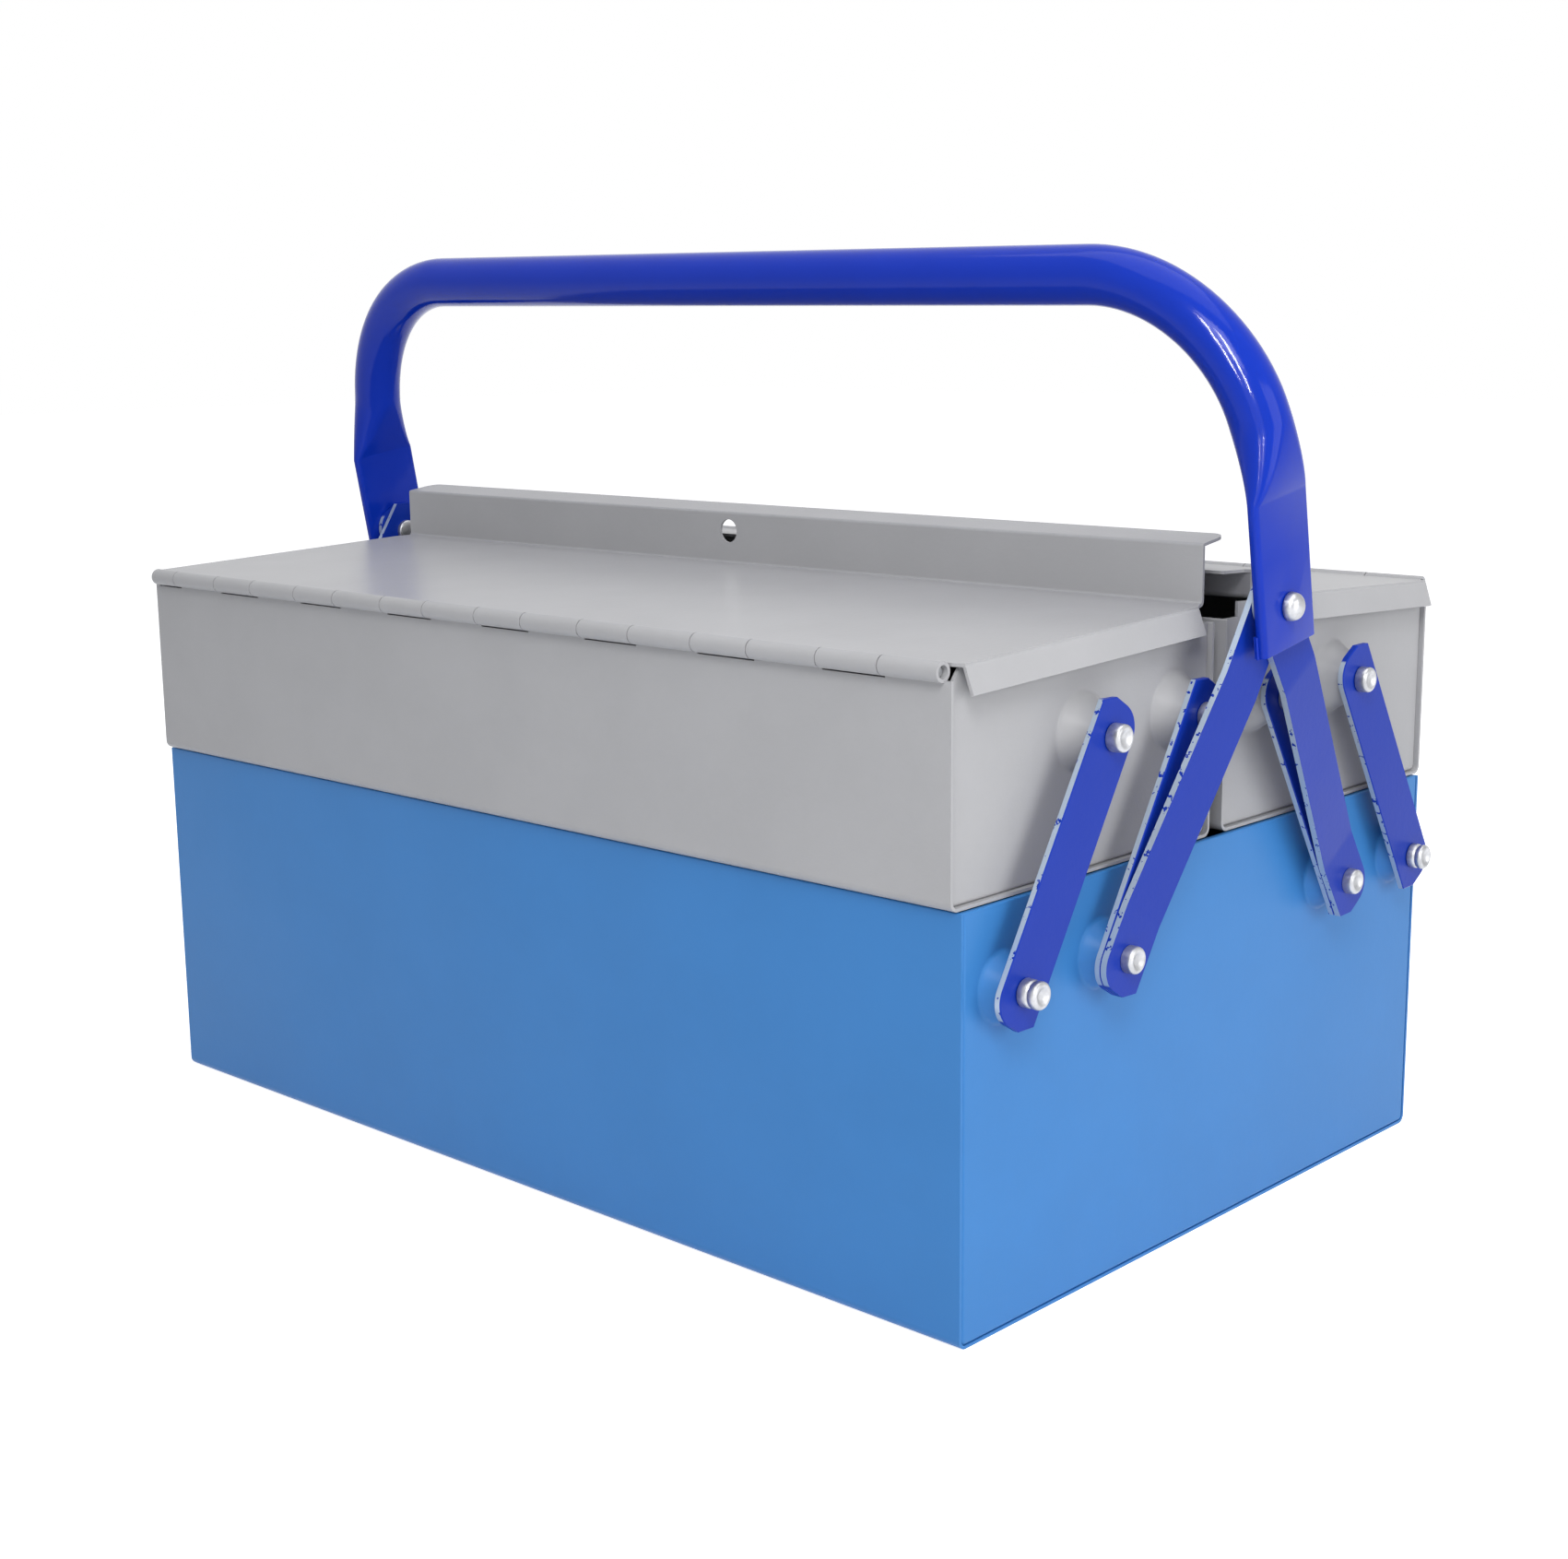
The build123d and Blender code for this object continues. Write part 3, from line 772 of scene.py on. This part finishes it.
@dataclass
class BailHandle:
    """The bent tube whose legs are pressed flat; X along the box, Z up the handle, Y across it.

    The right half is modelled from the middle of the grip down, then mirrored. Sizes are in millimetres,
    turns in degrees, and the tilt is a slope.
    """

    materials: dict[str, bpy.types.Material]
    tube_radius: float = 9.5
    grip_height: float = 103.9
    grip_half: float = 158.5
    bend_radius: float = 60.0
    bend_turn: float = 75.0
    stub: float = 1.0
    plate_middle: float = 220.9
    plate_top: float = 34.0
    plate_run: float = 18.0
    plate_reach: float = 13.0
    plate_width: float = 30.0
    plate_sheet: float = 4.0
    end_round: float = 0.45
    end_break: float = 0.13
    end_band: float = 0.02
    slit_wall: float = 1.65
    slit_depth: float = 7.0
    ease: float = 0.16
    hole_radius: float = 3.08
    lean: float = 10.0
    tilt: float = 0.0122
    weld: float = 0.01
    smooth_below: float = 38.0
    ring: int = 64
    grip_steps: int = 6
    bend_steps: int = 26
    press_steps: int = 18
    plate_steps: int = 6
    hole_steps: int = 40

    def build(self) -> bpy.types.Object:
        """Model the handle and let it take its node's place.

        Returns:
            The handle.
        """
        piece = self._tube()
        self._press(piece)
        self._close_end(piece)
        self._mirror(piece)
        self._drill(piece)
        self._tilt(piece)
        lean = Matrix.Rotation(math.radians(self.lean), 4, "X")
        ModelPiece.settle(piece, Matrix.Translation((0.0, 0.0, HANDLE_PIVOT * MM)) @ lean)
        ModelPiece.pick(piece)
        bpy.ops.object.shade_smooth_by_angle(angle=math.radians(self.smooth_below))
        piece.data.materials.append(self.materials["handle_blue"])
        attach(piece, "handle")
        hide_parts("handle")
        log.info("modelled %s", piece.name)
        return piece

    def _leg_start(self) -> Vector:
        """Work out where the bend ends.

        Returns:
            The tube's middle there, in millimetres.
        """
        turn = math.radians(self.bend_turn)
        return Vector((
            self.grip_half + self.bend_radius * math.sin(turn), 0.0,
            self.grip_height - self.bend_radius * (1 - math.cos(turn)),
        ))

    def _leg_line(self) -> Vector:
        """Direction of the leg below the bend."""
        turn = math.radians(self.bend_turn)
        return Vector((math.cos(turn), 0.0, -math.sin(turn)))

    def _tube(self) -> bpy.types.Object:
        """Model the right half as a round tube: straight grip, bend, and a leg in steps of 1 mm.

        Returns:
            The open tube.
        """
        ModelPiece.pick()
        bpy.ops.mesh.primitive_circle_add(
            vertices=self.ring, radius=self.tube_radius * MM, location=(0.0, 0.0, self.grip_height * MM),
            rotation=(0.0, math.pi / 2, 0.0),
        )
        piece = bpy.context.active_object
        piece.name = "bail_handle"
        bpy.ops.object.transform_apply(location=True, rotation=True, scale=True)
        bpy.ops.object.mode_set(mode="EDIT")
        bpy.ops.mesh.select_all(action="SELECT")
        grip_step = (self.grip_half * MM / self.grip_steps, 0.0, 0.0)
        for _ in range(self.grip_steps):
            bpy.ops.mesh.extrude_region_move(TRANSFORM_OT_translate={"value": grip_step})
        bend_middle = (self.grip_half * MM, 0.0, (self.grip_height - self.bend_radius) * MM)
        bpy.ops.mesh.spin(
            steps=self.bend_steps, angle=-math.radians(self.bend_turn), center=bend_middle,
            axis=(0.0, 1.0, 0.0),
        )
        leg_step = self._leg_line() * MM
        for _ in range(self.press_steps + self.plate_steps):
            bpy.ops.mesh.extrude_region_move(TRANSFORM_OT_translate={"value": leg_step})
        bpy.ops.object.mode_set(mode="OBJECT")
        return piece

    def _stations(self) -> list[tuple[Vector, float, float, float]]:
        """Work out where each ring below the bend goes as the tube is pressed flat.

        Returns:
            Middle, lean from upright in radians, width and thickness of each ring.
        """
        start = self._leg_start() + self._leg_line() * self.stub
        splay = math.radians(90 - self.bend_turn)
        meet = Vector((self.plate_middle, 0.0, start.z - (self.plate_middle - start.x) / math.tan(splay)))
        flat = Vector((self.plate_middle, 0.0, self.plate_top))
        tube = 2 * self.tube_radius
        rings = []
        for count in range(self.press_steps + 1):
            share = count / self.press_steps
            middle = start * (1 - share) ** 2 + meet * (2 * share * (1 - share)) + flat * share ** 2
            pressed = share ** 2 / (2 * self.ease) if share < self.ease else share - self.ease / 2
            pressed /= 1 - self.ease / 2
            width = tube + (self.plate_width - tube) * pressed
            thick = tube + (self.plate_sheet - tube) * pressed
            rings.append((middle, splay * (1 - share), width, thick))
        foot = -self.plate_reach
        ends = (
            (self.plate_top - self.plate_run, 0.0),
            (foot + self.end_round, 0.0),
            (foot + self.end_break, self.end_break),
            (foot, self.end_round),
        )
        for level, less in ends:
            middle = Vector((self.plate_middle, 0.0, level))
            rings.append((middle, 0.0, self.plate_width - 2 * less, self.plate_sheet - 2 * less))
        return rings

    def _press(self, piece: bpy.types.Object) -> None:
        """Press the leg's rings from round to flat and line them up under the bend.

        Args:
            piece: The round tube.
        """
        start = self._leg_start()
        line = self._leg_line()
        out = Vector((-line.z, 0.0, line.x))
        stations = self._stations()
        for vertex in piece.data.vertices:
            from_start = vertex.co / MM - start
            # The leg's rings are 1 mm apart, so the distance down the leg is the ring's number.
            count = round(from_start.dot(line))
            on_grip = from_start.x < -2 * self.tube_radius
            if on_grip or count < 1 or abs(from_start.dot(out)) > self.tube_radius + 0.5:
                continue
            middle, splay, width, thick = stations[min(count, len(stations)) - 1]
            across = (from_start - line * count).dot(out) / self.tube_radius
            along = vertex.co.y / MM / self.tube_radius
            side = 0.0 if abs(along) < 0.001 else math.copysign(1.0, along)
            outward = Vector((math.cos(splay), 0.0, math.sin(splay)))
            made = middle + outward * (across * thick / 2)
            made.y = along * thick / 2 + side * (width - thick) / 2
            vertex.co = made * MM

    def _close_end(self, piece: bpy.types.Object) -> None:
        """Close the flat end and sink the slit that the pressed tube leaves there.

        Args:
            piece: The pressed half.
        """
        foot = -(self.plate_reach - self.end_band) * MM
        ModelPiece.pick(piece)
        bpy.ops.object.mode_set(mode="EDIT")
        bpy.ops.mesh.select_all(action="DESELECT")
        bpy.ops.object.mode_set(mode="OBJECT")
        for vertex in piece.data.vertices:
            vertex.select = vertex.co.z < foot
        for edge in piece.data.edges:
            edge.select = all(piece.data.vertices[v].select for v in edge.vertices)
        bpy.ops.object.mode_set(mode="EDIT")
        bpy.ops.mesh.select_mode(type="EDGE")
        bpy.ops.mesh.edge_face_add()
        bpy.ops.mesh.select_mode(type="FACE")
        bpy.ops.mesh.inset(thickness=(self.slit_wall - self.end_round) * MM, depth=0.0)
        bpy.ops.mesh.extrude_region_move(TRANSFORM_OT_translate={"value": (0.0, 0.0, self.slit_depth * MM)})
        bpy.ops.mesh.select_mode(type="VERT")
        bpy.ops.object.mode_set(mode="OBJECT")

    def _mirror(self, piece: bpy.types.Object) -> None:
        """Mirror the half to the left end and weld it in the middle of the grip.

        Args:
            piece: The right half.
        """
        mirror = piece.modifiers.new("both_ends", "MIRROR")
        mirror.use_axis = (True, False, False)
        mirror.merge_threshold = self.weld * MM
        bpy.ops.object.modifier_apply(modifier=mirror.name)
        bpy.ops.object.mode_set(mode="EDIT")
        bpy.ops.mesh.select_all(action="SELECT")
        bpy.ops.mesh.normals_make_consistent(inside=False)
        bpy.ops.object.mode_set(mode="OBJECT")

    def _drill(self, piece: bpy.types.Object) -> None:
        """Drill both plates for their rivets.

        Args:
            piece: The whole handle.
        """
        half = self.plate_middle + self.plate_width
        line = [(-half, 0.0), (-half, self.hole_radius), (half, self.hole_radius), (half, 0.0)]
        drill = ModelPiece.lathe("drill", line, self.hole_steps)
        cut = piece.modifiers.new("rivet_holes", "BOOLEAN")
        cut.operation = "DIFFERENCE"
        cut.solver = "EXACT"
        cut.object = drill
        ModelPiece.pick(piece)
        bpy.ops.object.modifier_apply(modifier=cut.name)
        bpy.data.objects.remove(drill, do_unlink=True)

    def _tilt(self, piece: bpy.types.Object) -> None:
        """Lower the grip's right end a little, as on the real one, and leave the plates where they are.

        Args:
            piece: The whole handle.
        """
        for vertex in piece.data.vertices:
            rise = vertex.co.z / MM - self.plate_top
            share = min(1.0, max(0.0, rise / (self.grip_height - self.plate_top)))
            vertex.co.z -= self.tilt * vertex.co.x * share * share * (3 - 2 * share)


@dataclass(frozen=True)
class Lamp:
    """A rectangular soft lamp; places and sizes in metres."""

    name: str
    place: Point
    width: float
    height: float
    watts: float
    aim: Point = (0.0, 0.0, 0.1)

    def hang(self) -> bpy.types.Object:
        """Hang the lamp.

        Returns:
            The lamp's object.
        """
        data = bpy.data.lights.new(self.name, "AREA")
        data.shape = "RECTANGLE"
        data.size, data.size_y = self.width, self.height
        data.energy = self.watts
        lamp = bpy.data.objects.new(self.name, data)
        bpy.context.scene.collection.objects.link(lamp)
        lamp.location = self.place
        lamp.rotation_mode = "QUATERNION"
        lamp.rotation_quaternion = (Vector(self.aim) - Vector(self.place)).to_track_quat("-Z", "Y")
        return lamp


SOFT_LAMPS = (
    Lamp("overhead", place=(0.1, -0.1, 1.7), width=1.8, height=1.4, watts=14.0),
    Lamp("right_key", place=(1.7, 0.1, 0.5), width=1.0, height=1.0, watts=10.0),
    Lamp("front_lamp", place=(0.75, -1.05, 0.30), width=0.6, height=0.5, watts=1.3, aim=(0.15, 0.0, 0.1)),
    Lamp("ridge_lamp", place=(0.6, -0.6, 0.75), width=0.35, height=0.35, watts=4.2, aim=(0.1, 0.0, 0.2)),
)
GLOSS_STRIPS = (
    Lamp("left_strip", place=(0.52, -1.10, 0.72), width=0.05, height=0.6, watts=20.0, aim=(0.2, 0.0, 0.26)),
    Lamp("right_strip", place=(0.80, -0.92, 0.72), width=0.05, height=0.6, watts=20.0, aim=(0.2, 0.0, 0.26)),
)


@dataclass
class Studio:
    """Pale floor, soft lamps and the camera at the photograph's place, in metres and degrees."""

    handle: bpy.types.Object
    camera_place: Point = (0.5895, -0.6166, 0.2936)
    azimuth: float = 43.25
    elevation: float = 11.27
    roll: float = -0.62
    focal_px: float = 2490.8
    sensor: float = 36.0
    floor_size: float = 14.0
    floor_glow: float = 0.80
    floor_roughness: float = 0.9
    paper_scale: float = 3.0
    paper_dark: Colour = (0.90, 0.90, 0.91)
    paper_light: Colour = (0.93, 0.93, 0.93)
    room_tint: Colour = (0.94, 0.96, 1.0)
    room_glow: float = 0.31
    white: Colour = (1.0, 1.0, 1.0)

    def build(self) -> None:
        """Make the floor, the lamps, the world and the camera."""
        self._floor()
        self._world()
        self._lamps()
        self._camera()
        bpy.context.scene.view_settings.view_transform = "Standard"

    def _seen(self, nodes: NodeTree) -> bpy.types.NodeSocket:
        """Join the rays that show the backdrop: the camera's, and those of gloss and glass.

        Args:
            nodes: The floor's or the world's nodes.

        Returns:
            A socket that is 1 for those rays and 0 for the others.
        """
        path = nodes.add("ShaderNodeLightPath")
        direct = nodes.math("MAXIMUM", path.outputs["Is Camera Ray"], path.outputs["Is Glossy Ray"])
        return nodes.math("MAXIMUM", direct, path.outputs["Is Transmission Ray"])

    def _floor(self) -> None:
        """Lay a wide pale floor that shows white to the camera and keeps the shadow."""
        ModelPiece.pick()
        bpy.ops.mesh.primitive_plane_add(size=self.floor_size, location=(0.0, 0.0, 0.0))
        floor = bpy.context.active_object
        floor.name = "studio_floor"
        paper, nodes, shader = new_material("floor_paper")
        place = nodes.add("ShaderNodeTexCoord").outputs["Object"]
        tone = nodes.mix(nodes.noise(place, self.paper_scale), self.paper_dark, self.paper_light)
        nodes.feed(shader.inputs["Base Color"], tone)
        shader.inputs["Roughness"].default_value = self.floor_roughness
        shader.inputs["Specular IOR Level"].default_value = 0.0
        shader.inputs["Emission Color"].default_value = (*self.white, 1.0)
        glow = nodes.math("MULTIPLY", self._seen(nodes), self.floor_glow)
        nodes.feed(shader.inputs["Emission Strength"], glow)
        floor.data.materials.append(paper)

    def _world(self) -> None:
        """Put a soft pale room round the box that shows white to the camera."""
        world = bpy.data.worlds.new("studio_room")
        bpy.context.scene.world = world
        world.use_nodes = True
        world.node_tree.nodes.clear()
        nodes = NodeTree(world.node_tree)
        room = nodes.add("ShaderNodeBackground", Color=(*self.room_tint, 1.0), Strength=self.room_glow)
        white = nodes.add("ShaderNodeBackground", Color=(*self.white, 1.0), Strength=1.0)
        choose = nodes.add("ShaderNodeMixShader", Fac=self._seen(nodes))
        nodes.feed(choose.inputs[1], room.outputs["Background"])
        nodes.feed(choose.inputs[2], white.outputs["Background"])
        nodes.add("ShaderNodeOutputWorld", Surface=choose.outputs["Shader"])

    def _lamps(self) -> None:
        """Hang the soft lamps, and the two strips that only the gloss of the handle shows."""
        for lamp in SOFT_LAMPS:
            lamp.hang()
        glossy = bpy.data.collections.new("handle_gloss")
        glossy.objects.link(self.handle)
        for strip in GLOSS_STRIPS:
            hung = strip.hang()
            hung.visible_diffuse = False
            hung.light_linking.receiver_collection = glossy

    def _camera(self) -> None:
        """Stand the camera where the photograph was taken from."""
        azimuth, elevation, roll = (math.radians(v) for v in (self.azimuth, self.elevation, self.roll))
        level = math.cos(elevation)
        back = Vector((math.sin(azimuth) * level, -math.cos(azimuth) * level, math.sin(elevation)))
        right = Vector((math.cos(azimuth), math.sin(azimuth), 0.0))
        up = back.cross(right)
        across = right * math.cos(roll) + up * math.sin(roll)
        upright = up * math.cos(roll) - right * math.sin(roll)
        data = bpy.data.cameras.new("photograph_camera")
        data.sensor_width = self.sensor
        data.lens = self.focal_px * self.sensor / PHOTO_WIDTH
        camera = bpy.data.objects.new("photograph_camera", data)
        bpy.context.scene.collection.objects.link(camera)
        turn = Matrix((across, upright, back)).transposed()
        camera.matrix_world = Matrix.Translation(self.camera_place) @ turn.to_4x4()
        bpy.context.scene.camera = camera


class Dresser:
    """Gives each CAD node its finish."""

    def __init__(self, nodes: dict[str, bpy.types.Object], groups: EffectGroups) -> None:
        """Build every finish once.

        Args:
            nodes: The CAD nodes by name.
            groups: The shared effects.
        """
        self.nodes = nodes
        self.finishes = {finish.name: finish.material(groups) for finish in FINISHES}

    def dress(self, slots: dict[str, str]) -> None:
        """Assign each node the finish that its slot names.

        Args:
            slots: Material slot of each node.
        """
        for name, node in self.nodes.items():
            material = self.finishes[slots[name]]
            node.data.materials.clear()
            node.data.materials.append(material)
            log.info("dressed %s in %s", name, material.name)


def main() -> None:
    """Load the frame, dress it, add the new pieces and set the studio."""
    logging.basicConfig(level=logging.INFO, format="%(name)s: %(message)s")
    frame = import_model()
    groups = EffectGroups()
    dresser = Dresser(frame["nodes"], groups)
    dresser.dress({part["node"]: part["material_slot"] for part in frame["record"]["subparts"]})
    RivetSet(dresser.finishes).build_all()
    for end in End:
        HandleRivet(dresser.finishes).build(end)
    for side in Side:
        HingeWire(dresser.finishes).build(side)
    handle = BailHandle(dresser.finishes).build()
    Studio(handle).build()


if __name__ == "__main__":
    main()
